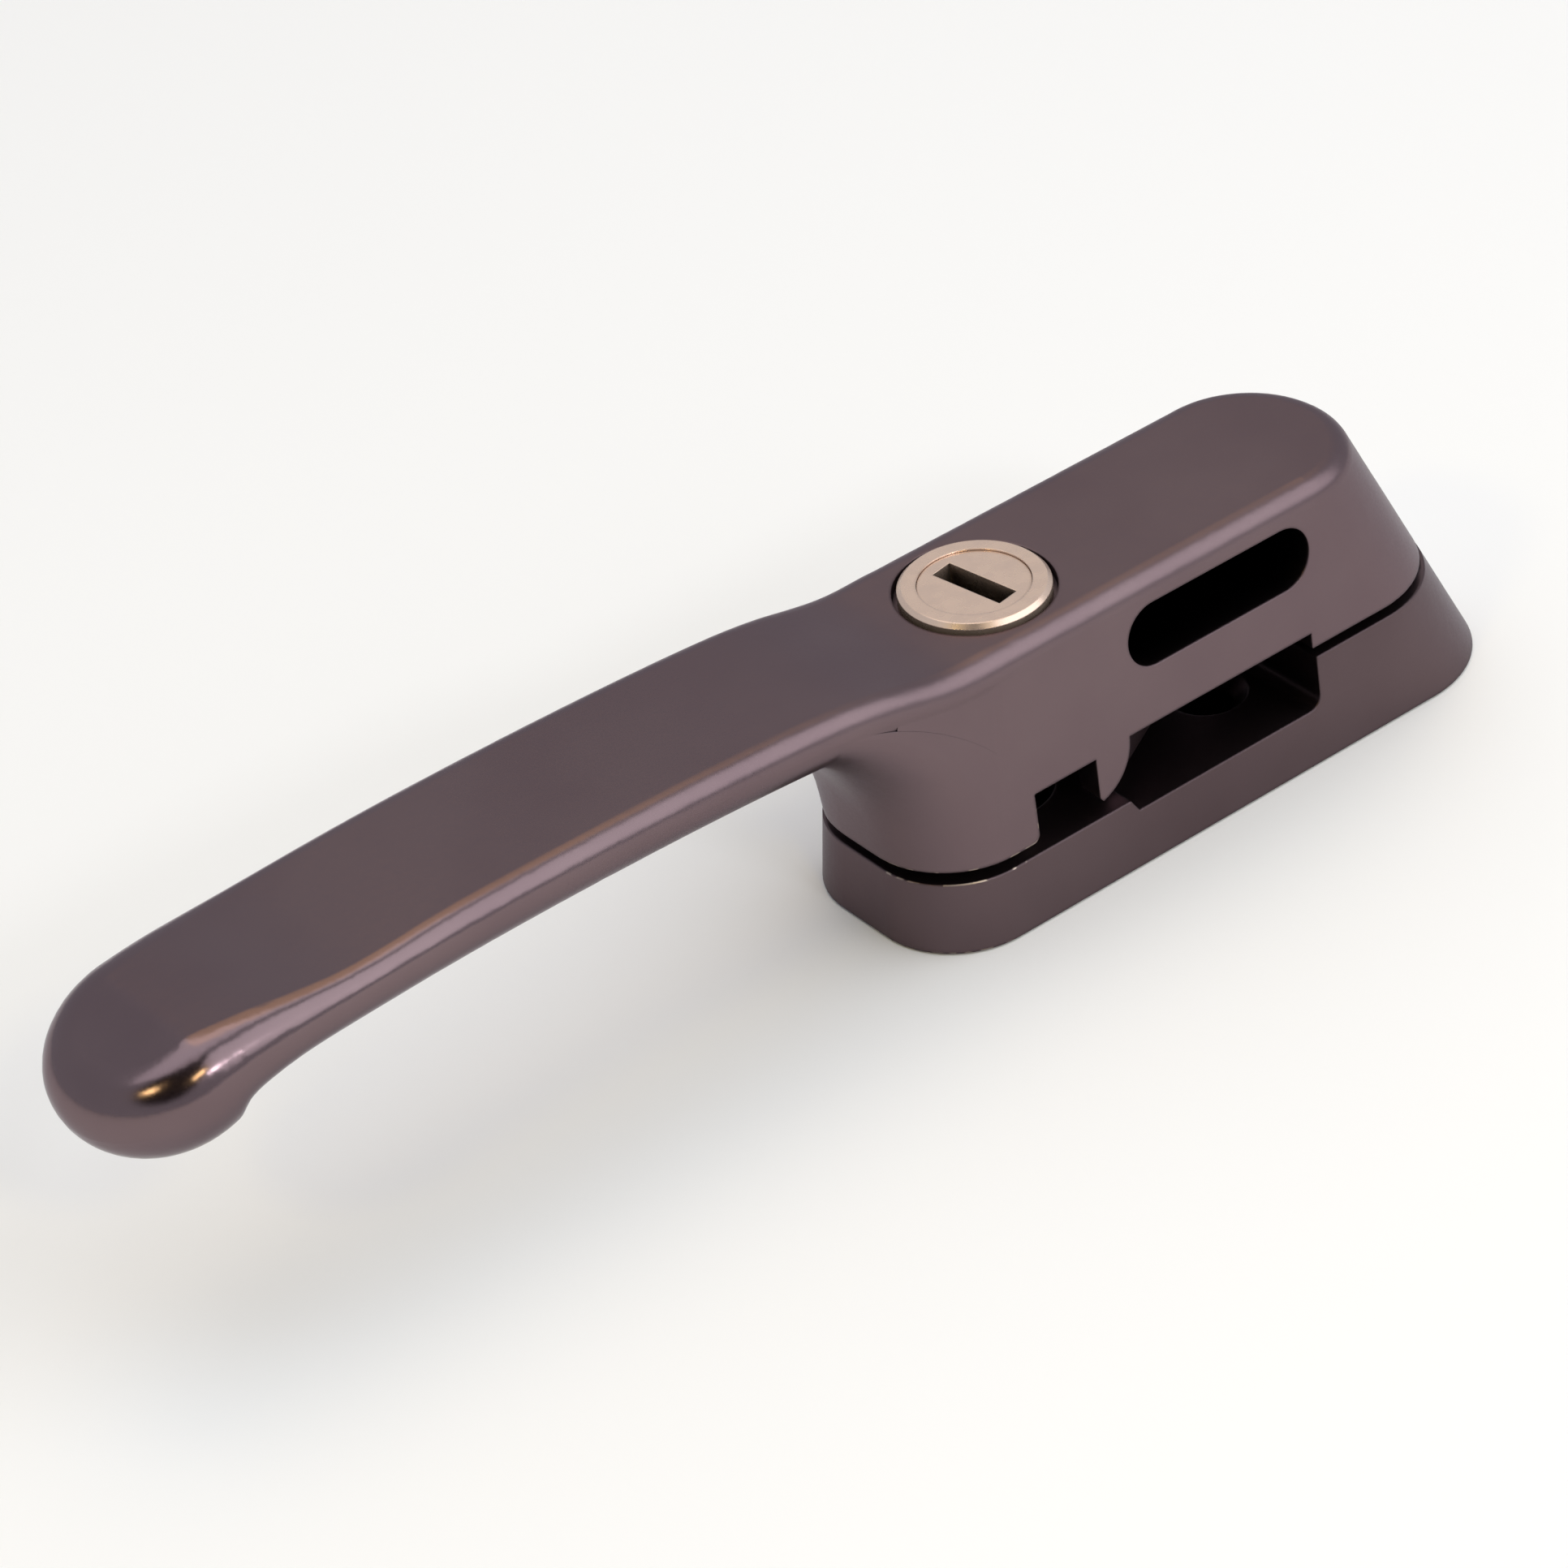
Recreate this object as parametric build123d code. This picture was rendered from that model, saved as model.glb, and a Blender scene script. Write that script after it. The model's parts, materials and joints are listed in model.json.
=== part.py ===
from build123d import *
import math
import os

os.makedirs("parts", exist_ok=True)

# All sizes are in millimetres. The origin is where the lever's pivot axis meets the mounting face.
# X runs along the handle towards its nose, Y towards the back, away from the mouth, and Z up.

# Tapered outer form, shared by the base and the lever's head
base_left = -48.0
base_nose = 13.75
base_width = 20.1
side_taper = 0.0624
nose_slant = 0.5
corner_share = 0.363

# Base
low_top = 6.2
recess_floor = 5.0
raised_top = 9.6
recess_left = -28.35
recess_slope = 0.75
recess_right = -8.24
recess_back = 5.0
recess_fillet = 1.2
screw_x = (-42.8, -13.2)
screw_y = -1.5
screw_hole_d = 4.3
screw_sink_d = 6.8
turn_gap = 0.05

# Lever head
lever_low = 7.33
lever_high = 10.6
head_top = 24.85
top_round = 1.8
mouth_left = -27.76
mouth_right = -8.56
mouth_top = 12.0
mouth_back = 6.5
back_step = -9.0
notch_left = -37.55
notch_right = -31.25
notch_top = 11.6
notch_round = 0.7
tooth_tip_x = -31.0
tooth_tip_z = 7.63
tooth_back = 0.35
tooth_bow = (0.75, -0.55)
slot_left = -26.87
slot_right = -7.97
slot_bottom = 16.93
slot_top = 22.45
slot_back = 4.5
wall_inner = 7.0
cavity_left = -44.4
cavity_right = -28.5
cavity_top = 15.2
cavity_corner = 3.0
rib_end = -20.0
rib_thickness = 1.7
rib_lead = 1.2
rib_lap = 0.5

# Arm: distance of each station from the base's left end, and rise of its top over the head's
arm_tops = [
    (6.4, 0.01),
    (4.3, 0.15),
    (2.3, 0.49),
    (0.3, 0.93),
    (-1.7, 1.35),
    (-4.7, 1.8),
    (-9.7, 2.22),
    (-16.7, 2.57),
    (-24.7, 2.8),
    (-33.7, 2.88),
    (-42.7, 2.73),
    (-50.7, 2.37),
]
arm_lap = 0.3
arm_root = 2.0
arm_root_inset = (0.06, -0.02)
side_flat = 0.3
belly_depth = 4.55
# Sections into the tip: distance, rise, edge radius, belly depth and tilt in degrees
tip_stations = [
    (-55.6, 2.5, 2.4, 4.4, 4.0),
    (-59.0, 2.58, 2.95, 4.75, 9.0),
    (-61.7, 2.48, 3.4, 5.75, 14.0),
    (-63.6, 2.16, 3.62, 6.75, 18.0),
]
tip_run = 0.5
# Hollow between the head's left end and the arm: its middle line, from the base's left end and
# from the lever's underside, and its lean at the foot and at the arm
neck_points = [(-0.45, 3.67), (-2.0, 7.57), (-5.0, 11.2)]
neck_lean = ((-0.15, 1.0), (-1.0, 0.06))
neck_inset = 0.05
neck_reach = 4.0
neck_lap = 0.2
# Fill between the hollow and the arm: distance from the base's left end and from the head's top
shoulder_edge = [
    (5.1, -8.05),
    (1.9, -3.5),
    (-1.4, -1.65),
    (-1.2, -0.77),
    (0.3, -1.05),
    (2.3, -1.5),
    (4.3, -1.85),
]
shoulder_inset = 0.07
shoulder_lap = 2.5

# Pivot
spindle_d = 8.0
spindle_top = 19.4
running_gap = 0.04
bush_d = 10.1
bush_flange_d = 12.0
bush_flange = 0.9
underside_pocket_d = 15.0
underside_pocket = 3.4
disc_spring_rim = 0.2
disc_spring_t = 0.4
disc_spring_rise = 0.45
disc_spring_gap = 0.15
washer_d = 13.4
washer_t = 0.8
washer_gap = 0.05
clip_t = 0.7
clip_d = 11.5
clip_groove_d = 6.6
clip_gap = 0.05
clip_mouth = 0.8
spindle_foot = 0.4
spindle_end_gap = 0.1
face_gap = 0.05
stop_pin_d = 2.0
stop_pin_r = 7.4
stop_pin_angle = 45.0
stop_pin_hold = 4.0
stop_groove = 2.0
stop_pin_clear = 0.3
swing = 90.0
stop_gap = 0.25

# Lock
lock_x = -34.4
flange_d = 12.05
flange_proud = 0.6
flange_sunk = 0.9
flange_edge = 0.35
flange_well_d = 12.9
barrel_d = 11.4
barrel_bottom = 12.6
barrel_gap = 0.05
barrel_groove = 0.6
plug_face_d = 8.9
plug_face_drop = 0.15
plug_head = 1.1
plug_d = 8.0
keyway_length = 6.8
keyway_width = 2.0
keyway_bottom = 13.6
keyway_angle = 9.0
lock_swing = 90.0
wafer_top = 23.1
wafer_pitch = 2.1
wafer_t = 0.9
wafer_width = 4.4
wafer_travel = 0.5
wafer_gap = 0.05
wafer_bits = (0.6, -0.3, 0.9, 0.2)
window_u = (-2.7, 2.1)
window_gap = 0.1
ear_v = (2.2, 3.3)
ear_u = (0.3, 1.0)
pocket_u = (-2.0, 1.7)
spring_d = 0.8
spring_wire = 0.16
spring_pitch = 0.5
spring_step = 45.0
groove_width = 5.0
groove_depth = 0.9
groove_below = 1.0
groove_above = 0.4
lock_clip_d = 13.0
lock_clip_t = 0.9
lock_clip_mouth = 0.85
clip_pocket_gap = 0.5
clip_pocket = 2.2
plug_clip_d = 9.4
plug_clip_t = 0.65
neck_d = 6.4
plug_groove_d = 5.2
cam_top = 10.6
cam_t = 2.2
cam_r = 3.2
cam_throw = 3.4
cam_pin_d = 2.6
cam_pin_foot = 4.0
cam_pin_gap = 0.3
cam_wall = 0.7
tail_d = 4.4
tail_flats = 3.2
tail_gap = 0.1
cam_screw_d = 2.0
cam_screw_head_d = 3.8
cam_screw_head = 1.2
cam_screw_depth = 3.0
cam_screw_gap = 0.2
pin_groove_floor = 3.4
pin_track_sweep = 30.0

# Lengths used only to cut past the outside of a solid
far = 60.0
over = 1.0

corner_r = corner_share * base_width
disc_spring_d = washer_d - 2 * disc_spring_rim
wafer_count = len(wafer_bits)


def half_width(z):
    return base_width / 2 - side_taper * z


def left_end(z):
    return base_left + side_taper * z


def block(x0, x1, y0, y1, z0, z1):
    return Pos((x0 + x1) / 2, (y0 + y1) / 2, (z0 + z1) / 2) * Box(x1 - x0, y1 - y0, z1 - z0)


def post(d, z0, z1, x=0.0, y=0.0):
    return Pos(x, y, (z0 + z1) / 2) * Cylinder(d / 2, z1 - z0)


def ring(d_out, d_in, z0, z1, x=0.0, y=0.0):
    return post(d_out, z0, z1, x, y) - post(d_in, z0 - over, z1 + over, x, y)


def side_solid(wire, y0, y1):
    """A solid with the given closed outline in X and Z, from y0 to y1."""
    face = Plane.XZ.offset(-y0) * make_face(wire)
    return extrude(face, amount=y1 - y0, dir=(0, 1, 0))


def outline(z):
    """The outer form's plan at height z: rounded corners at the left, a half round at the nose."""
    h = half_width(z)
    left = left_end(z)
    nose = base_nose - nose_slant * z
    cx = nose - h
    k = corner_r * (1 - math.sqrt(0.5))
    edges = [
        Line((left + corner_r, -h), (cx, -h)),
        ThreePointArc((cx, -h), (nose, 0), (cx, h)),
        Line((cx, h), (left + corner_r, h)),
        ThreePointArc((left + corner_r, h), (left + k, h - k), (left, h - corner_r)),
        Line((left, h - corner_r), (left, corner_r - h)),
        ThreePointArc((left, corner_r - h), (left + k, k - h), (left + corner_r, -h)),
    ]
    return Pos(0, 0, z) * make_face(edges)


def arc_groove(r, half, a0, a1, z0, z1):
    """A groove about the pivot axis with round ends, between two angles in degrees."""
    path = CenterArc((0, 0), r, a0, a1 - a0)
    band = make_face(
        [
            CenterArc((0, 0), r + half, a0, a1 - a0),
            Line(Vector(r + half, 0).rotate(Axis.Z, a1), Vector(r - half, 0).rotate(Axis.Z, a1)),
            CenterArc((0, 0), r - half, a0, a1 - a0),
            Line(Vector(r - half, 0).rotate(Axis.Z, a0), Vector(r + half, 0).rotate(Axis.Z, a0)),
        ]
    )
    solid = Pos(0, 0, z0) * extrude(band, amount=z1 - z0)
    for end in (path @ 0, path @ 1):
        solid += post(2 * half, z0, z1, end.X, end.Y)
    return solid


envelope = loft([outline(0), outline(head_top)], ruled=True)

# Base
base = envelope & block(-far, far, -far, far, 0, low_top)
raised = envelope & block(recess_right, far, -far, far, 0, raised_top)
turn_r = half_width(raised_top) + turn_gap
corner = block(-far, 0, 0, far, low_top, raised_top + over) - post(2 * turn_r, 0, far)
base = base + (raised - corner)
floor_arc = recess_fillet * (1 - math.sqrt(0.5))
recess = side_solid(
    [
        Line((recess_left, raised_top + over), (recess_left, low_top)),
        Line((recess_left, low_top), (recess_left + recess_slope, recess_floor)),
        Line((recess_left + recess_slope, recess_floor), (recess_right - recess_fillet, recess_floor)),
        ThreePointArc(
            (recess_right - recess_fillet, recess_floor),
            (recess_right - floor_arc, recess_floor + floor_arc),
            (recess_right, recess_floor + recess_fillet),
        ),
        Line((recess_right, recess_floor + recess_fillet), (recess_right, raised_top + over)),
        Line((recess_right, raised_top + over), (recess_left, raised_top + over)),
    ],
    -far,
    recess_back,
)
base -= recess
sink = (screw_sink_d - screw_hole_d) / 2
for x, top in zip(screw_x, (low_top, recess_floor)):
    base -= post(screw_hole_d, -over, far, x, screw_y)
    base -= Pos(x, screw_y, top - sink / 2) * Cone(screw_hole_d / 2, screw_sink_d / 2, sink)
    base -= post(screw_sink_d, top, top + over, x, screw_y)
base -= post(bush_d, underside_pocket, far)
base -= post(underside_pocket_d, -over, underside_pocket)
base -= arc_groove(
    stop_pin_r,
    stop_pin_d / 2 + stop_gap,
    stop_pin_angle - swing,
    stop_pin_angle,
    raised_top - stop_groove,
    raised_top + over,
)
# Track for the lock's cam pin: a way out to the back, and a quarter turn round to the locked place
pin_half = cam_pin_d / 2 + cam_pin_gap
track_r = -lock_x - cam_throw
track_top = low_top + over
base -= arc_groove(track_r, pin_half, 180 - pin_track_sweep, 180, pin_groove_floor, track_top)
quarter = ring(2 * (cam_throw + pin_half), 2 * (cam_throw - pin_half), pin_groove_floor, track_top, lock_x)
base -= quarter & block(lock_x, lock_x + far, -far, 0, 0, far)
base -= post(2 * pin_half, pin_groove_floor, track_top, lock_x, -cam_throw)


# Lever: the head, an arm lofted through its sections, and a tip turned about the last section
def arm_section(x, top, radius, depth, tilt, inset=0.0):
    n = math.hypot(1, side_taper)
    rise = -radius
    yc = half_width(top + rise) - radius * n - inset
    ys = yc + radius / n
    zs = rise + radius * side_taper / n
    ze = zs - side_flat
    ye = half_width(top + ze) - inset
    a = radius * math.sqrt(0.5)
    edges = [
        Line((-yc, 0), (yc, 0)),
        ThreePointArc((yc, 0), (yc + a, rise + a), (ys, zs)),
        Line((ys, zs), (ye, ze)),
        EllipticalCenterArc((0, ze), ye, depth, start_angle=0, arc_size=-90),
        EllipticalCenterArc((0, ze), ye, depth, start_angle=270, arc_size=-90),
        Line((-ye, ze), (-ys, zs)),
        ThreePointArc((-ys, zs), (-yc - a, rise + a), (-yc, 0)),
    ]
    t = math.radians(tilt)
    plane = Plane(origin=(x, 0, top), x_dir=(0, -1, 0), z_dir=(-math.cos(t), 0, -math.sin(t)))
    return plane, make_face(edges)


arm_start = left_end(head_top) + corner_r + arm_lap
tops = [(base_left + x, head_top + z) for x, z in arm_tops]
placed = []
# The arm's root starts just inside the head and comes out of it over a short length
for x, inset in zip((arm_start + arm_root, arm_start), arm_root_inset):
    placed.append(arm_section(x, head_top - inset, top_round, belly_depth, 0, inset))
for x, z in tops:
    placed.append(arm_section(x, z, top_round, belly_depth, 0))
for x, z, radius, depth, tilt in tip_stations:
    placed.append(arm_section(base_left + x, head_top + z, radius, depth, tilt))
# The last section is repeated just before and beyond its place, so that the arm meets the tip square
tip_plane, tip_face = placed.pop()
placed += [(tip_plane.offset(run), tip_face) for run in (-tip_run, 0, tip_run)]
arm = loft([plane * face for plane, face in placed])
arm -= tip_plane * Pos(0, 0, far / 2) * Box(far, far, far)
tip_half = tip_plane * (tip_face & Pos(far / 2, 0) * Rectangle(far, 2 * far))
tip = revolve(tip_half, Axis(tip_plane.origin, tip_plane.y_dir), -180)

head = envelope - block(-far, far, -far, far, -over, lever_low)
head = fillet(head.faces().sort_by(Axis.Z)[-1].edges(), top_round)
head -= block(-far, arm_start, -far, far, head_top - top_round - neck_inset, far)

# Hollow sweep from the head's left end up to the arm's underside. It is lofted through sections
# across its path, which change from the head's rounded corners to the arm's belly.
neck_from = (left_end(lever_low) + neck_inset, lever_low - over)
neck_mid = [(base_left + x, lever_low + z) for x, z in neck_points]
neck_x, neck_top = tops[len(tops) // 2]
neck_to = (neck_x, neck_top - top_round - side_flat - belly_depth + top_round * side_taper)
neck_path = Spline(neck_from, *neck_mid, neck_to, tangents=neck_lean)


def neck_section(t):
    at = neck_path @ t
    along = neck_path % t
    inward = Vector(along.Y, -along.X)
    blend = t * t * (3 - 2 * t)
    deep = corner_r + (belly_depth - corner_r) * blend
    wide = half_width(at.Y + inward.Y * deep) - neck_inset
    flat = wide - corner_r
    span = math.acos(flat / wide)
    sink = neck_inset * 2 * blend
    half = []
    for i in range(6):
        a = math.pi / 10 * i
        b = span / 5 * i
        y = (flat + corner_r * math.cos(a)) * (1 - blend) + wide * math.cos(b) * blend
        rise = corner_r * (1 - math.sin(a)) * (1 - blend) + belly_depth * (1 - math.sin(b)) * blend
        half.append((y, rise + sink))
    other = [(-y, rise) for y, rise in reversed(half)]
    top = deep + neck_reach * (1 - blend) + neck_lap
    top_y = half_width(at.Y + inward.Y * top) - neck_inset
    edges = [
        Spline(*half, (0, sink), *other),
        Line(other[-1], (-top_y, top)),
        Line((-top_y, top), (top_y, top)),
        Line((top_y, top), half[0]),
    ]
    plane = Plane(
        origin=(at.X, 0, at.Y),
        x_dir=(0, 1, 0),
        z_dir=Vector(0, 1, 0).cross(Vector(inward.X, 0, inward.Y)),
    )
    return plane * make_face(edges)


neck = loft([neck_section(t) for t in (0.0, 0.2, 0.4, 0.6, 0.8, 1.0)])
neck -= block(-far, far, -far, far, 0, lever_low)

# Fills the head's rounded corners between the hollow and the arm's sides
foot_y = half_width(0) - shoulder_inset
top_y = half_width(head_top) - shoulder_inset
flanks = make_face(
    Polyline((-foot_y, 0), (foot_y, 0), (top_y, head_top), (-top_y, head_top), close=True)
)
edge = [(base_left + x, head_top + z) for x, z in shoulder_edge]
right = arm_start + shoulder_lap
shoulder = side_solid(Polyline(*edge, (right, edge[-1][1]), (right, edge[0][1]), close=True), -far, far)
shoulder &= extrude(Plane.YZ * flanks, amount=far, both=True)
lever = head + arm + tip + neck + shoulder

lever -= block(mouth_left, mouth_right, -far, mouth_back, 0, mouth_top)
lever -= block(back_step, far, -far, far, 0, lever_high)
# Curved tooth between the mouth and the notch, in the front wall only
notch_arc = notch_round * (1 - math.sqrt(0.5))
lever -= side_solid(
    [
        Line((notch_left, notch_top), (notch_left, lever_low + notch_round)),
        ThreePointArc(
            (notch_left, lever_low + notch_round),
            (notch_left - notch_arc, lever_low + notch_arc),
            (notch_left - notch_round, lever_low),
        ),
        Line((notch_left - notch_round, lever_low), (notch_left - notch_round, 0)),
        Line((notch_left - notch_round, 0), (mouth_left + over, 0)),
        Line((mouth_left + over, 0), (mouth_left + over, mouth_top)),
        Line((mouth_left + over, mouth_top), (mouth_left, mouth_top)),
        ThreePointArc(
            (mouth_left, mouth_top),
            ((mouth_left + tooth_tip_x) / 2 + tooth_bow[0], (mouth_top + tooth_tip_z) / 2 + tooth_bow[1]),
            (tooth_tip_x, tooth_tip_z),
        ),
        Line((tooth_tip_x, tooth_tip_z), (notch_right, tooth_tip_z + tooth_back)),
        Line((notch_right, tooth_tip_z + tooth_back), (notch_right, notch_top)),
        Line((notch_right, notch_top), (notch_left, notch_top)),
    ],
    -far,
    -wall_inner,
)
cavity = block(cavity_left, cavity_right, -wall_inner, wall_inner, 0, cavity_top)
cavity = fillet(cavity.edges().filter_by(Axis.Z).group_by(Axis.X)[0], cavity_corner)
lever -= cavity
slot_r = (slot_top - slot_bottom) / 2
slot_z = (slot_top + slot_bottom) / 2
slot_x0 = slot_left + slot_r
slot_x1 = slot_right - slot_r
lever -= side_solid(
    [
        Line((slot_x0, slot_bottom), (slot_x1, slot_bottom)),
        ThreePointArc((slot_x1, slot_bottom), (slot_right, slot_z), (slot_x1, slot_top)),
        Line((slot_x1, slot_top), (slot_x0, slot_top)),
        ThreePointArc((slot_x0, slot_top), (slot_left, slot_z), (slot_x0, slot_bottom)),
    ],
    -far,
    slot_back,
)
# Slanted rib behind the tooth, and the wall between the mouth and the lock's hollow
rib = make_face(
    Polyline(
        (cavity_right, -wall_inner),
        (mouth_left + rib_lead, -wall_inner),
        (rib_end, -wall_inner / 2),
        (rib_end, -wall_inner / 2 + rib_thickness),
        (cavity_right + rib_thickness, -wall_inner / 2 + rib_thickness),
        (cavity_right + rib_thickness, mouth_back + rib_lap),
        (cavity_right, mouth_back + rib_lap),
        close=True,
    )
)
lever += Pos(0, 0, lever_low) * extrude(rib, amount=mouth_top + rib_lap - lever_low)
lever -= post(barrel_d + 2 * barrel_gap, 0, far, lock_x)
lever -= post(flange_well_d, head_top - flange_sunk, far, lock_x)
lever -= post(lock_clip_d + 2 * clip_pocket_gap, cavity_top - clip_pocket, cavity_top, lock_x)
lever -= post(spindle_d, 0, spindle_top + spindle_end_gap)
stop_at = Vector(stop_pin_r, 0).rotate(Axis.Z, stop_pin_angle)
stop_pin_top = lever_high + stop_pin_hold
lever -= post(stop_pin_d, 0, stop_pin_top, stop_at.X, stop_at.Y)

# Pivot, washers and clip
bush = post(bush_d, underside_pocket, raised_top)
bush += post(bush_flange_d, raised_top, raised_top + bush_flange)
bush -= post(spindle_d + 2 * running_gap, 0, far)
spring_top = underside_pocket - face_gap
spring_foot = spring_top - disc_spring_t - disc_spring_rise
bore_r = spindle_d / 2 + disc_spring_gap
disc_spring = revolve(
    Plane.XZ
    * make_face(
        Polyline(
            (bore_r, spring_top - disc_spring_t),
            (disc_spring_d / 2, spring_foot),
            (disc_spring_d / 2, spring_foot + disc_spring_t),
            (bore_r, spring_top),
            close=True,
        )
    ),
    Axis.Z,
)
washer = ring(washer_d, spindle_d + 2 * washer_gap, spring_foot - washer_t, spring_foot)
clip_top = spring_foot - washer_t
spindle = post(spindle_d, spindle_foot, spindle_top) - ring(far, clip_groove_d, clip_top - clip_t, clip_top)


def open_clip(d_out, d_in, z0, z1, x, mouth):
    """A flat snap ring with a gap of the given width on its +X side."""
    return ring(d_out, d_in, z0, z1, x) - block(x, x + far, -mouth / 2, mouth / 2, z0 - over, z1 + over)


clip_bore = clip_groove_d + 2 * clip_gap
spindle_clip = open_clip(clip_d, clip_bore, clip_top - clip_t, clip_top, 0, clip_mouth * clip_groove_d)
stop_pin_foot = raised_top - stop_groove + stop_pin_clear
stop_pin = post(stop_pin_d, stop_pin_foot, stop_pin_top, stop_at.X, stop_at.Y)

# Lock
flange_top = head_top + flange_proud
flange_foot = head_top - flange_sunk
face_top = flange_top - plug_face_drop
head_foot = face_top - plug_head
flange = chamfer(post(flange_d, flange_foot, flange_top, lock_x).edges().sort_by(Axis.Z)[-1:], flange_edge)
clip_z = cavity_top - lock_clip_t
groove_d = barrel_d - 2 * barrel_groove
key_turn = Pos(lock_x, 0, 0) * Rot(0, 0, keyway_angle)


def along_key(v0, v1, u0, u1, z0, z1):
    """A block in the plug: v across the keyway and u along it, towards the back."""
    return key_turn * block(v0, v1, u0, u1, z0, z1)


def plug_post(d, z0, z1):
    return post(d, z0, z1, lock_x)


barrel = flange + plug_post(barrel_d, barrel_bottom, flange_foot)
barrel -= plug_post(plug_face_d + 2 * running_gap, head_foot - running_gap, far)
barrel -= plug_post(plug_d + 2 * running_gap, 0, far)
barrel -= ring(far, groove_d, clip_z, cavity_top, lock_x)
wafer_zs = [wafer_top - wafer_pitch * i for i in range(wafer_count)]
groove_r = plug_d / 2 + groove_depth
locking = plug_post(2 * groove_r, wafer_zs[-1] - groove_below, wafer_zs[0] + groove_above)
for angle in (keyway_angle, keyway_angle - lock_swing):
    across = Rot(0, 0, angle) * block(-groove_width / 2, groove_width / 2, -far, far, 0, far)
    barrel -= locking & Pos(lock_x, 0, 0) * across
lock_clip = open_clip(lock_clip_d, groove_d, clip_z, cavity_top, lock_x, lock_clip_mouth * groove_d)

tail_bottom = cam_top - cam_t + tail_gap
plug = plug_post(plug_face_d, head_foot, face_top) + plug_post(plug_d, barrel_bottom - face_gap, head_foot)
plug += plug_post(neck_d, cam_top, barrel_bottom)
flats = block(lock_x - far, lock_x + far, -tail_flats / 2, tail_flats / 2, 0, far)
tail = plug_post(tail_d, tail_bottom, cam_top) & flats
plug += tail
plug_clip_z = barrel_bottom - 2 * face_gap - plug_clip_t
plug -= ring(far, plug_groove_d, plug_clip_z, plug_clip_z + plug_clip_t, lock_x)
key_half = keyway_width / 2
key_reach = keyway_length / 2
plug -= along_key(-key_half, key_half, -key_reach, key_reach, keyway_bottom, far)
plug -= plug_post(cam_screw_d, 0, tail_bottom + cam_screw_depth)
slot_half = wafer_width / 2 + wafer_gap
for z in wafer_zs:
    z0, z1 = z - wafer_t - wafer_gap, z + wafer_gap
    plug -= along_key(-slot_half, slot_half, -far, far, z0, z1) & plug_post(plug_d + over, z0, z1)
    plug -= along_key(0, ear_v[1] + wafer_gap, pocket_u[0], pocket_u[1], z0, z1)

wafers = []
springs = []
for z, bit in zip(wafer_zs, wafer_bits):
    body = plug_post(plug_d - 2 * wafer_gap, z - wafer_t, z)
    body &= along_key(-wafer_width / 2, wafer_width / 2, -far, far, z - wafer_t, z)
    body += along_key(0, ear_v[1], ear_u[0], ear_u[1], z - wafer_t, z)
    window = key_half + window_gap
    body -= along_key(-window, window, bit + window_u[0], bit + window_u[1], z - wafer_t - over, z + over)
    wafers.append(body)
    rise = ear_u[0] - pocket_u[0] - 2 * wafer_gap - spring_wire
    steps = round(rise / spring_pitch * 360 / spring_step)
    reach = Vector((spring_d - spring_wire) / 2, 0, 0)
    bends = [reach.rotate(Axis.Z, spring_step * i) + (0, 0, rise * i / steps) for i in range(steps + 1)]
    coil = Polyline(*bends)
    turn = sweep((coil ^ 0) * Rectangle(spring_wire, spring_wire), path=coil, transition=Transition.RIGHT)
    spring_foot_u = pocket_u[0] + wafer_gap + spring_wire / 2
    at = Pos((ear_v[0] + ear_v[1]) / 2 + wafer_gap, spring_foot_u, z - wafer_t / 2)
    springs.append(key_turn * at * Rot(-90, 0, 0) * turn)

plug_clip_top = plug_clip_z + plug_clip_t
plug_mouth = clip_mouth * plug_groove_d
plug_clip = open_clip(plug_clip_d, plug_groove_d, plug_clip_z, plug_clip_top, lock_x, plug_mouth)
cam_z = cam_top - cam_t
pin_x = lock_x + cam_throw
lobe_r = cam_pin_d / 2 + cam_wall
cam = plug_post(2 * cam_r, cam_z, cam_top) + post(2 * lobe_r, cam_z, cam_top, pin_x)
cam += block(lock_x, pin_x, -lobe_r, lobe_r, cam_z, cam_top)
cam += post(cam_pin_d, cam_pin_foot, cam_z, pin_x)
cam -= plug_post(tail_d, 0, far) & flats
cam_screw = plug_post(cam_screw_head_d, cam_z - cam_screw_head, cam_z)
cam_screw += plug_post(cam_screw_d, cam_z, tail_bottom + cam_screw_depth - cam_screw_gap)

nodes = {
    "base_plate": base,
    "lever_handle": lever,
    "pivot_bush": bush,
    "pivot_spindle": spindle,
    "disc_spring": disc_spring,
    "retaining_washer": washer,
    "spindle_clip": spindle_clip,
    "stop_pin": stop_pin,
    "lock_barrel": barrel,
    "barrel_clip": lock_clip,
    "lock_plug": plug,
    "plug_clip": plug_clip,
    "lock_cam": cam,
    "cam_screw": cam_screw,
}
for i in range(wafer_count):
    nodes[f"wafer_{i + 1}"] = wafers[i]
    nodes[f"wafer_spring_{i + 1}"] = springs[i]
for name, solid in nodes.items():
    export_step(solid, f"parts/{name}.step")
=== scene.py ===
import json

import bmesh
import bpy
from mathutils import Matrix, Vector


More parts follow.
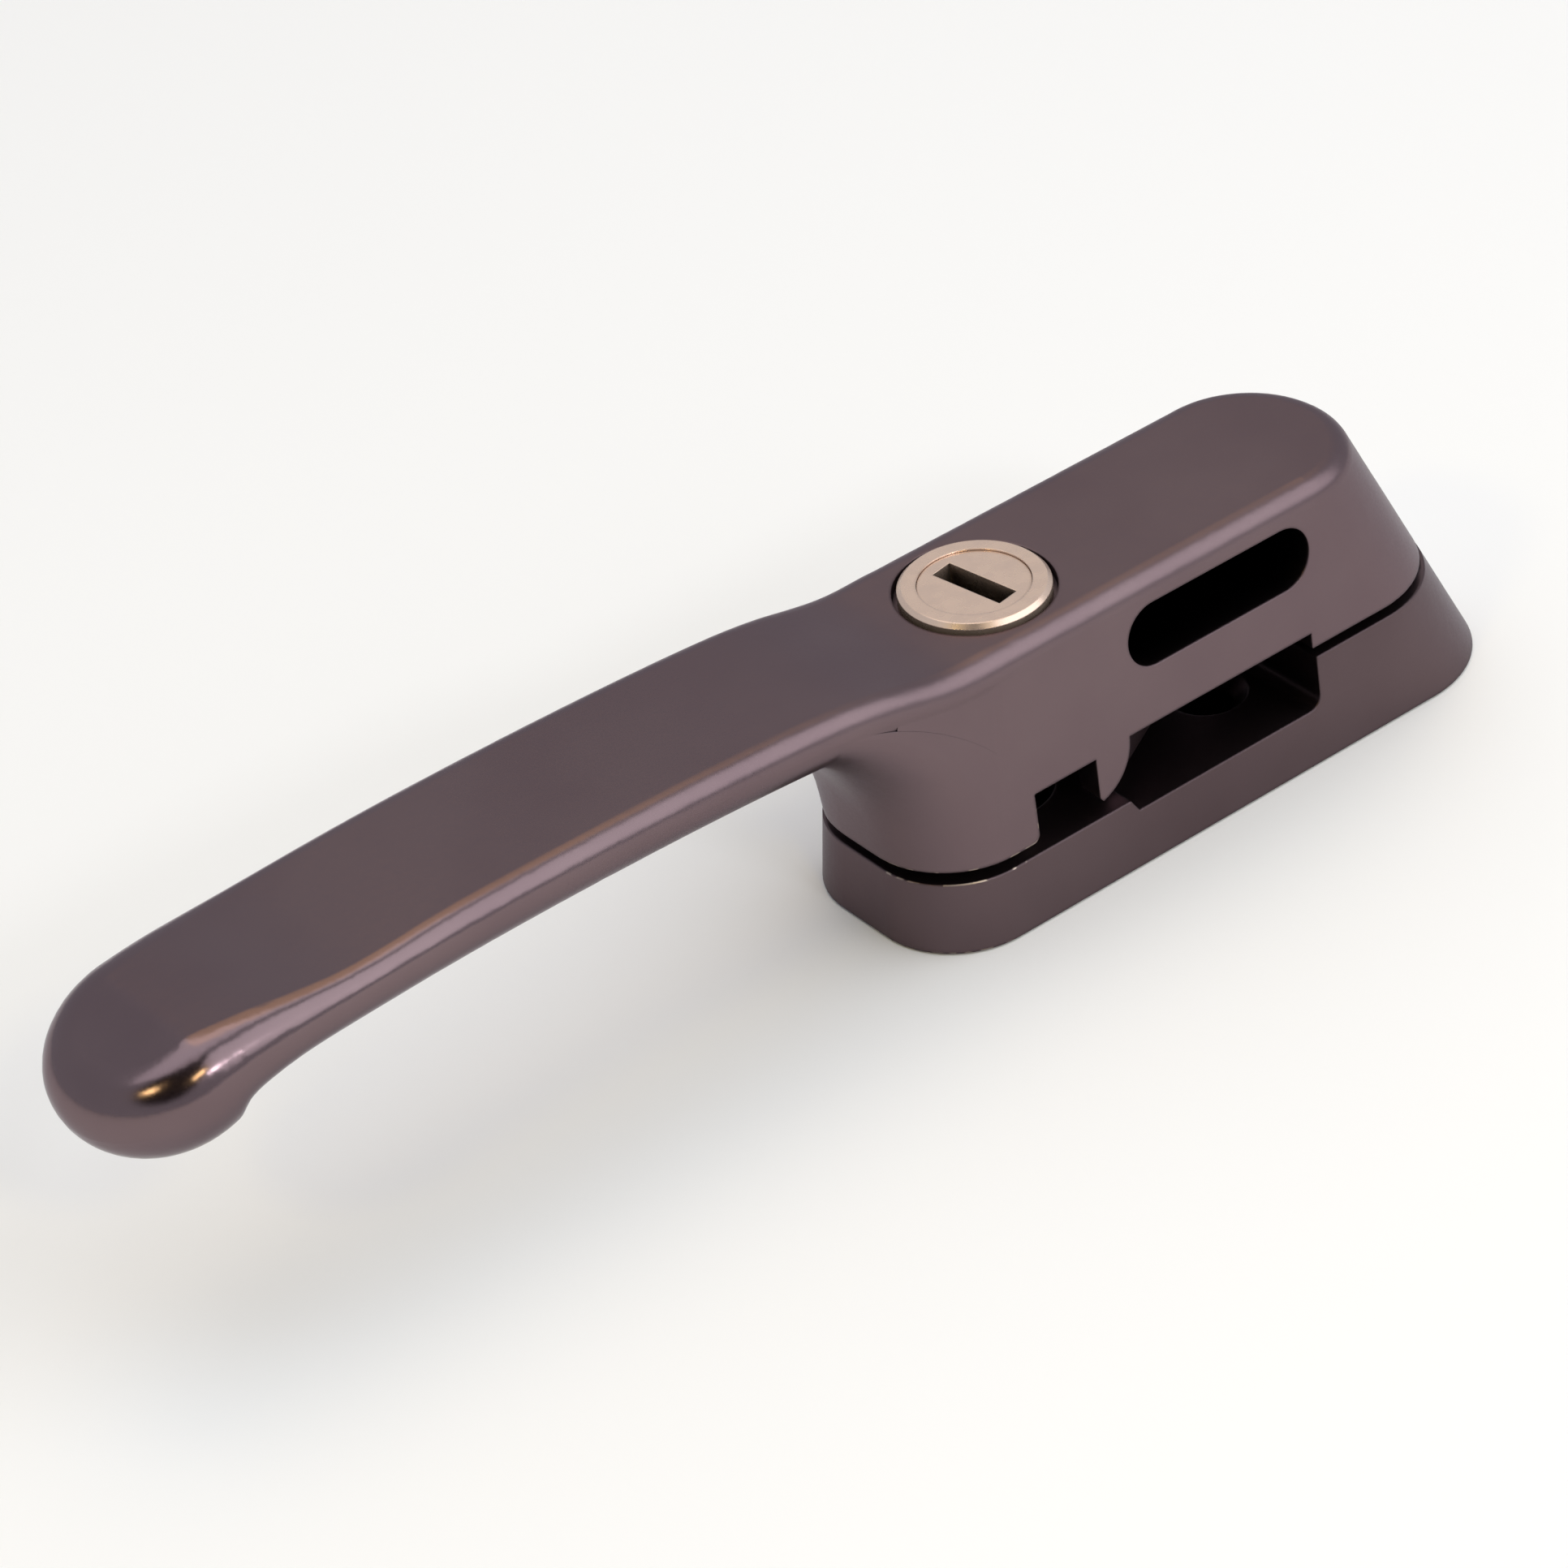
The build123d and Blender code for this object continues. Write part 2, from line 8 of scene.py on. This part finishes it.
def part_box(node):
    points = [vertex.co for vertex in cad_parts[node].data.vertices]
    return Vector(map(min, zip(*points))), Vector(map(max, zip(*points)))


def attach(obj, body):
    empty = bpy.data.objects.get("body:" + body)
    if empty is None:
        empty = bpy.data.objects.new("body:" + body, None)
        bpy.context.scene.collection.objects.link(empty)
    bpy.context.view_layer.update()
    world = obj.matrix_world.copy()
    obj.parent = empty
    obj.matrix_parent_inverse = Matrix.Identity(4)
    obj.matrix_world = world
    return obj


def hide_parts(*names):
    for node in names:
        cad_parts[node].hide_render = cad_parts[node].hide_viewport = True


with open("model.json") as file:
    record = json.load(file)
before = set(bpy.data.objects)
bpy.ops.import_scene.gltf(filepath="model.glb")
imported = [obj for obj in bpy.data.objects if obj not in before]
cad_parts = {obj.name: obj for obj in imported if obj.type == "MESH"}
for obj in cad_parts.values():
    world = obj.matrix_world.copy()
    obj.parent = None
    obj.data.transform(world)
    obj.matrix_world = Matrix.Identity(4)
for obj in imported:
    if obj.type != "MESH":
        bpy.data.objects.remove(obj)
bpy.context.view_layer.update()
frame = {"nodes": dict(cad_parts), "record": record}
scene = bpy.context.scene
scene.view_settings.view_transform = "Standard"


def srgb(red, green, blue):
    """A linear colour from an sRGB one given in 0 to 255."""
    def linear(value):
        value /= 255
        return value / 12.92 if value <= 0.04045 else ((value + 0.055) / 1.055) ** 2.4
    return (linear(red), linear(green), linear(blue), 1.0)


# Places of a Mix node's colour sockets, which share their names with its other sockets
mix_factor, mix_low, mix_high = 0, 6, 7
mix_colour = 2


class Nodes:
    """A node tree, with short calls to add and link nodes. A source is an output socket."""

    def __init__(self, tree):
        self.tree = tree
        self.tree.nodes.clear()

    def add(self, kind, **values):
        node = self.tree.nodes.new(kind)
        for key, value in values.items():
            setattr(node, key, value)
        return node

    def feed(self, into, value):
        """Links a source to an input. Anything else is set as the input's value."""
        if isinstance(value, bpy.types.NodeSocket):
            self.tree.links.new(value, into)
        else:
            into.default_value = value

    def put(self, node, **values):
        """Feeds inputs by name."""
        for key, value in values.items():
            self.feed(node.inputs[key.replace("_", " ")], value)

    def combine(self, kind, operation, first, second):
        """The result of a maths node with two inputs."""
        node = self.add(kind, operation=operation)
        self.feed(node.inputs[0], first)
        self.feed(node.inputs[1], second)
        return node.outputs["Value"]

    def times(self, first, second):
        return self.combine("ShaderNodeMath", "MULTIPLY", first, second)

    def cosine(self, first, second):
        """The cosine of the angle between two directions."""
        return self.combine("ShaderNodeVectorMath", "DOT_PRODUCT", first, second)

    def distance(self, first, second):
        return self.combine("ShaderNodeVectorMath", "DISTANCE", first, second)

    def span(self, source, from_low, from_high, low, high, smooth=False):
        """Carries a source from one range of values to another."""
        kind = "SMOOTHSTEP" if smooth else "LINEAR"
        node = self.add("ShaderNodeMapRange", interpolation_type=kind)
        self.put(node, Value=source, From_Min=from_low, From_Max=from_high, To_Min=low, To_Max=high)
        return node.outputs["Result"]

    def blend(self, factor, low, high):
        """A colour between two others. Each of those is a colour or a source."""
        node = self.add("ShaderNodeMix", data_type="RGBA")
        self.feed(node.inputs[mix_factor], factor)
        self.feed(node.inputs[mix_low], low)
        self.feed(node.inputs[mix_high], high)
        return node.outputs[mix_colour]


# Shading, with the settings of the painted shade in a piece's own hollows: lengths in metres
edge_samples = 6
painted_shade_samples = 8
painted_shade_edge = 0.0008
painted_shade_edge_samples = 4


class Finish(Nodes):
    """A material with one principled shader."""

    def __init__(self, name):
        self.material = bpy.data.materials.new(name)
        self.material.use_nodes = True
        super().__init__(self.material.node_tree)
        self.shader = self.add("ShaderNodeBsdfPrincipled")
        out = self.add("ShaderNodeOutputMaterial")
        self.put(out, Surface=self.shader.outputs["BSDF"])
        self.place = self.add("ShaderNodeTexCoord").outputs["Object"]

    def noise(self, scale, detail):
        node = self.add("ShaderNodeTexNoise")
        self.put(node, Vector=self.place, Scale=scale, Detail=detail)
        return node.outputs["Fac"]

    def along(self):
        """The place along the handle, in metres."""
        node = self.add("ShaderNodeSeparateXYZ")
        self.put(node, Vector=self.place)
        return node.outputs["X"]

    def rounded(self, radius, samples=edge_samples):
        """The normal, with the piece's edges rounded by the given radius."""
        node = self.add("ShaderNodeBevel", samples=samples)
        self.put(node, Radius=radius)
        return node.outputs["Normal"]

    def painted_shade(self, reach, dark, bright):
        """Painted shade: 0 where the piece closes itself in, 1 on its open faces."""
        normal = self.rounded(painted_shade_edge, painted_shade_edge_samples)
        node = self.add("ShaderNodeAmbientOcclusion", samples=painted_shade_samples, only_local=True)
        self.put(node, Distance=reach, Normal=normal)
        return self.span(node.outputs["AO"], dark, bright, 0.0, 1.0, smooth=True)

    def relief(self, height, strength, distance, edge):
        """A fine relief, with the piece's edges rounded by the given radius."""
        node = self.add("ShaderNodeBump")
        self.put(node, Strength=strength, Distance=distance, Height=height, Normal=self.rounded(edge))
        self.put(self.shader, Normal=node.outputs["Normal"])


# Noise: its detail, and the stretch of its values that is put to use
plain_detail, fine_detail, spot_detail = 3.0, 2.0, 1.0
noise_middle = (0.35, 0.65)
noise_wide = (0.3, 0.7)

# Worn spots at the base's front left corner: lengths in metres, edges by the cosine of their turn
worn_corner = (-0.0445, -0.0092, 0.0073)
worn_reach = 0.009
worn_fade = 0.7 * worn_reach
worn_edge = 0.0003
worn_turn = (0.85, 0.97)
worn_scale = 900.0
worn_cover = (0.5, 0.58)
worn_metal = srgb(214, 196, 180)


def worn_spots(coat):
    """1 in small spots on the sharp edges near the corner, 0 elsewhere."""
    normal = coat.add("ShaderNodeNewGeometry").outputs["Normal"]
    turn = coat.cosine(coat.rounded(worn_edge), normal)
    apart = coat.distance(coat.place, worn_corner)
    near = coat.span(apart, worn_fade, worn_reach, 1.0, 0.0, smooth=True)
    sharp = coat.span(turn, *worn_turn, 1.0, 0.0, smooth=True)
    spots = coat.span(coat.noise(worn_scale, spot_detail), *worn_cover, 0.0, 1.0, smooth=True)
    return coat.times(coat.times(near, sharp), spots)


# Bronze coat: lengths in metres. Its roughness grows from the first to the second place along the handle
coat_tint_scale = 60.0
# Painted shade in the casting's own hollows: how far it looks, and the near black it turns the coat to
coat_painted_shade = {"reach": 0.016, "dark": 0.30, "bright": 0.92}
coat_shade_black = srgb(10, 9, 11)
coat_places = (-0.105, -0.045)
coat_rough = (0.19, 0.34)
coat_rough_scale = 5200.0
coat_rough_change = (0.9, 1.1)
coat_sheen = (0.78, 0.77, 0.80, 1.0)
coat_relief_scale = 900.0
coat_relief = {"strength": 0.05, "distance": 0.0002, "edge": 0.0003}


def bronze_coat(name, low, high):
    """Dark plated coat, smoothest at the tip, with painted shade that turns it near black deep inside
    the casting's own hollows.
    """
    coat = Finish(name)
    tint_noise = coat.noise(coat_tint_scale, plain_detail)
    tint = coat.blend(coat.span(tint_noise, *noise_middle, 0.0, 1.0), low, high)
    # Painted shade: near black where the casting closes itself in
    colour = coat.blend(coat.painted_shade(**coat_painted_shade), coat_shade_black, tint)
    colour = coat.blend(worn_spots(coat), colour, worn_metal)
    rough = coat.span(coat.along(), *coat_places, *coat_rough)
    rough_noise = coat.noise(coat_rough_scale, fine_detail)
    uneven = coat.times(rough, coat.span(rough_noise, *noise_wide, *coat_rough_change))
    coat.put(coat.shader, Base_Color=colour, Roughness=uneven, Metallic=1.0, Specular_Tint=coat_sheen)
    coat.relief(coat.noise(coat_relief_scale, fine_detail), **coat_relief)
    return coat.material


# Bare metal, with painted shade in its own hollows: lengths in metres
grain_scale = 700.0
grain_rough = 0.03
grain_relief = {"strength": 0.01, "distance": 0.0001}
# Painted shade in the metal's own hollows: how far it looks, its dark colour, and a faint span used by
# default
metal_shade_reach = 0.004
metal_shade_black = srgb(24, 20, 22)
faint_painted_shade = (0.0, 0.02)


def bare_metal(name, low, high, rough, edge, metallic=1.0, painted_shade_span=faint_painted_shade):
    """Plain metal, darkened by painted shade in its own hollows. Shade gives how open a place is where
    the painted shade is dark, and where it is bright.
    """
    metal = Finish(name)
    grain = metal.noise(grain_scale, fine_detail)
    tint = metal.blend(metal.span(grain, *noise_middle, 0.0, 1.0), low, high)
    # Painted shade: darker where the piece closes itself in
    colour = metal.blend(metal.painted_shade(metal_shade_reach, *painted_shade_span), metal_shade_black, tint)
    uneven = metal.span(grain, *noise_wide, rough - grain_rough, rough + grain_rough)
    metal.put(metal.shader, Base_Color=colour, Roughness=uneven, Metallic=metallic)
    metal.relief(grain, edge=edge, **grain_relief)
    return metal.material


finishes = {
    "bronze_coat": bronze_coat("bronze_coat", srgb(111, 94, 98), srgb(117, 100, 103)),
    # A darker copy of the coat for the base plate, as painted shade
    "bronze_shaded_base": bronze_coat("bronze_shaded_base", srgb(95, 80, 83), srgb(101, 86, 89)),
    # Satin nickel, with strong painted shade that darkens its keyway below the top of the walls
    "satin_nickel": bare_metal(
        "satin_nickel",
        srgb(222, 196, 179),
        srgb(225, 199, 182),
        rough=0.27,
        edge=0.00012,
        metallic=0.8,
        painted_shade_span=(0.32, 0.64),
    ),
    "zinc_steel": bare_metal(
        "zinc_steel", srgb(168, 168, 166), srgb(190, 190, 188), rough=0.32, edge=0.00008
    ),
    "spring_steel": bare_metal(
        "spring_steel", srgb(96, 96, 100), srgb(120, 120, 124), rough=0.3, edge=0.00008
    ),
    # Brass, its colour darkened with painted shade for the dark keyway it sits in
    "brass": bare_metal("brass", srgb(50, 41, 32), srgb(66, 54, 41), rough=0.4, edge=0.00006),
}

# Pieces whose finish isn't the one that their slot in the record names; the base plate takes a darker
# copy of the coat, which is painted shade
own_finish = {"base_plate": "bronze_shaded_base", "pivot_spindle": "bronze_coat"}
for part in frame["record"]["subparts"]:
    finish = own_finish.get(part["node"], part["material_slot"])
    mesh = frame["nodes"][part["node"]].data
    mesh.materials.clear()
    mesh.materials.append(finishes[finish])

# Stop pin, ended flush with the head's sloping wall, which the CAD pin comes through
wall_normal = Vector((0.7326, 0.5654, 0.3789)).normalized()
wall_reach = 0.01196
pin_sides = 64
pin_low, pin_high = (Vector(end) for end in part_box("stop_pin"))
pin_radius = (pin_high.x - pin_low.x) / 2
shape = bmesh.new()
bmesh.ops.create_cone(
    shape,
    cap_ends=True,
    segments=pin_sides,
    radius1=pin_radius,
    radius2=pin_radius,
    depth=pin_high.z - pin_low.z,
    matrix=Matrix.Translation((pin_low + pin_high) / 2),
)
cut = bmesh.ops.bisect_plane(
    shape,
    geom=shape.verts[:] + shape.edges[:] + shape.faces[:],
    plane_co=wall_normal * wall_reach,
    plane_no=wall_normal,
    clear_outer=True,
)
rim = [edge for edge in cut["geom_cut"] if isinstance(edge, bmesh.types.BMEdge)]
bmesh.ops.edgeloop_fill(shape, edges=rim)
bmesh.ops.recalc_face_normals(shape, faces=shape.faces[:])
mesh = bpy.data.meshes.new("stop_pin_flush")
shape.to_mesh(mesh)
shape.free()
mesh.materials.append(finishes["bronze_coat"])
flush_pin = bpy.data.objects.new("stop_pin_flush", mesh)
scene.collection.objects.link(flush_pin)
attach(flush_pin, "lever")
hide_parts("stop_pin")

# Floor: lengths in metres
floor_size = 4.0
floor_height = -0.0002
floor_low, floor_high = (0.90, 0.90, 0.90, 1.0), (0.93, 0.93, 0.93, 1.0)
floor_scale = 3.0
floor_rough = 0.9
bpy.ops.mesh.primitive_plane_add(size=floor_size, location=(0, 0, floor_height))
floor = bpy.context.object
floor.name = "floor"
paper = Finish("floor")
pale = paper.blend(paper.noise(floor_scale, fine_detail), floor_low, floor_high)
paper.put(paper.shader, Base_Color=pale, Roughness=floor_rough)
floor.data.materials.append(paper.material)

# Room: pale walls, a warm glow high up at the back, and a dark place above and behind the camera
walls = (0.565, 0.59, 0.63, 1.0)
glow = {"direction": (0.28, 0.38, 0.88), "outer": 0.935, "inner": 0.98}
glow_colour = (1.40, 1.10, 0.75, 1.0)
dark = {"direction": (-0.45, -0.5, 0.74), "outer": 0.80, "inner": 0.92}
dark_colour = (0.04, 0.034, 0.034, 1.0)
world = bpy.data.worlds.new("studio")
scene.world = world
world.use_nodes = True
room = Nodes(world.node_tree)
way = room.add("ShaderNodeTexCoord").outputs["Generated"]


def towards(direction, outer, inner):
    """0 far from the given direction and 1 near it, by the cosine of the angle."""
    near = room.cosine(way, Vector(direction).normalized())
    return room.span(near, outer, inner, 0.0, 1.0, smooth=True)


lit = room.blend(towards(**glow), walls, glow_colour)
seen = room.blend(towards(**dark), lit, dark_colour)
sky = room.add("ShaderNodeBackground")
room.put(sky, Color=seen, Strength=1.0)
room.put(room.add("ShaderNodeOutputWorld"), Surface=sky.outputs["Background"])

# Lamps: directions from what they are aimed at, lengths in metres, power in watts
middle = Vector((-0.05, 0.0, 0.012))
tip = Vector((-0.113, -0.007, 0.0256))
front_colour = (0.96, 0.98, 1.0)
above_colour = (0.95, 0.97, 1.0)
warm_colour = (1.0, 0.80, 0.34)
far_colour = (0.96, 0.97, 1.0)


def softbox(name, aim, direction, distance, size, power, colour):
    """A rectangular lamp that faces what it is aimed at."""
    light = bpy.data.lights.new(name, "AREA")
    light.shape = "RECTANGLE"
    light.size, light.size_y = size
    light.energy = power
    light.color = colour
    lamp = bpy.data.objects.new(name, light)
    scene.collection.objects.link(lamp)
    away = Vector(direction).normalized()
    lamp.location = aim + away * distance
    lamp.rotation_mode = "QUATERNION"
    lamp.rotation_quaternion = away.to_track_quat("Z", "Y")


softbox("front_right", middle, (0.465, -0.57, 0.65), 0.9, (1.0, 0.9), 4.1, front_colour)
softbox("overhead", middle, (-0.1, 0.15, 1.0), 1.1, (0.9, 0.9), 2.8, above_colour)
softbox("lamp_left", tip, (-0.66, -0.23, 0.71), 0.8, (0.10, 0.08), 0.48, warm_colour)
softbox("lamp_right", tip, (-0.13, -0.73, 0.67), 0.8, (0.10, 0.08), 0.48, warm_colour)
softbox("lamp_far_right", tip, (0.09, -0.83, 0.55), 0.8, (0.12, 0.08), 0.68, far_colour)

# Camera at the photograph's angle: its place in metres, and its lens in millimetres
eye = Vector((-0.26056, -0.29470, 0.27592))
right = Vector((0.77557, -0.62445, -0.09253))
up = Vector((0.42656, 0.41036, 0.80601))
back = Vector((-0.46534, -0.66458, 0.58462))
lens = bpy.data.cameras.new("camera")
lens.sensor_width = 36.0
lens.lens = 134.16
lens.clip_start, lens.clip_end = 0.01, 20.0
camera = bpy.data.objects.new("camera", lens)
scene.collection.objects.link(camera)
camera.matrix_world = Matrix.Translation(eye) @ Matrix((right, up, back)).transposed().to_4x4()
scene.camera = camera
